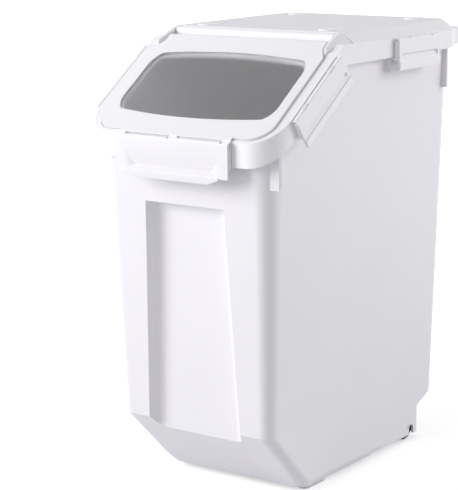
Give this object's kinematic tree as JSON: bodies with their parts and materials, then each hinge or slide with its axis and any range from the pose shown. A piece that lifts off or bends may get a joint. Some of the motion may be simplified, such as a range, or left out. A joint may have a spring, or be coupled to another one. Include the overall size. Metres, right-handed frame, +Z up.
{
  "type": "rice bin with flip lid",
  "caption": "White wheeled food bin with a latched lid frame, a sloped flip lid with a clear window, a front latch and side latches.",
  "frame": {"origin": "on the floor, under the middle of the object's bounding box", "axes": "+Z up, -Y towards the front latch and the sloped flip lid, +X to the right of someone who faces the front"},
  "size_m": [0.277, 0.457, 0.5216],
  "materials": {
    "body": "satin white polypropylene",
    "lid": "satin white polypropylene",
    "pad": "matt white",
    "window": "clear moulded plastic",
    "seal": "soft translucent silicone",
    "wheel": "black nylon",
    "foot": "light grey rubber",
    "steel": "plain steel rod"
  },
  "bodies": {
    "bin": {"bin_body": "body", "foot_front_left": "foot", "foot_front_right": "foot", "wheel_axle_left": "steel", "wheel_axle_right": "steel"},
    "wheel_left": {"wheel_left": "wheel"},
    "wheel_right": {"wheel_right": "wheel"},
    "lid": {"lid_frame": "lid", "lid_seal": "seal", "deck_pads": "pad", "flip_hinge_pin_left": "steel", "flip_hinge_pin_right": "steel", "side_latch_pin_left_front": "steel", "side_latch_pin_left_rear": "steel", "side_latch_pin_right_front": "steel", "side_latch_pin_right_rear": "steel"},
    "flip": {"flip_lid": "lid", "flip_window": "window", "flip_seal": "seal", "front_latch_pin": "steel"},
    "front_clip": {"front_latch": "lid"},
    "clip_left_front": {"side_latch_left_front": "lid"},
    "clip_left_rear": {"side_latch_left_rear": "lid"},
    "clip_right_front": {"side_latch_right_front": "lid"},
    "clip_right_rear": {"side_latch_right_rear": "lid"}
  },
  "joints": [
    {"name": "lid_lift", "type": "slide", "parent": "bin", "child": "lid", "axis": [0, 0, 1], "range_m": [0, 0.16]},
    {"name": "flip_lid_hinge", "type": "hinge", "parent": "lid", "child": "flip", "pos_m": [0, -0.0678, 0.5146], "axis": [-1, 0, 0], "range_deg": [0, 135]},
    {"name": "front_latch_hinge", "type": "hinge", "parent": "flip", "child": "front_clip", "pos_m": [0, -0.2227, 0.4132], "axis": [-1, 0, 0], "range_deg": [0, 90]},
    {"name": "side_latch_left_front_hinge", "type": "hinge", "parent": "lid", "child": "clip_left_front", "pos_m": [-0.1327, -0.18484, 0.43569], "axis": [0, 0.824, 0.5665], "range_deg": [0, 90]},
    {"name": "side_latch_left_rear_hinge", "type": "hinge", "parent": "lid", "child": "clip_left_rear", "pos_m": [-0.1327, 0.0225, 0.506], "axis": [0, 1, 0], "range_deg": [0, 90]},
    {"name": "side_latch_right_front_hinge", "type": "hinge", "parent": "lid", "child": "clip_right_front", "pos_m": [0.1327, -0.18484, 0.43569], "axis": [0, -0.824, -0.5665], "range_deg": [0, 90]},
    {"name": "side_latch_right_rear_hinge", "type": "hinge", "parent": "lid", "child": "clip_right_rear", "pos_m": [0.1327, 0.0225, 0.506], "axis": [0, -1, 0], "range_deg": [0, 90]},
    {"name": "wheel_left_spin", "type": "hinge", "parent": "bin", "child": "wheel_left", "pos_m": [-0.0807, 0.1265, 0.017], "axis": [1, 0, 0], "continuous": true},
    {"name": "wheel_right_spin", "type": "hinge", "parent": "bin", "child": "wheel_right", "pos_m": [0.0807, 0.1265, 0.017], "axis": [1, 0, 0], "continuous": true}
  ]
}
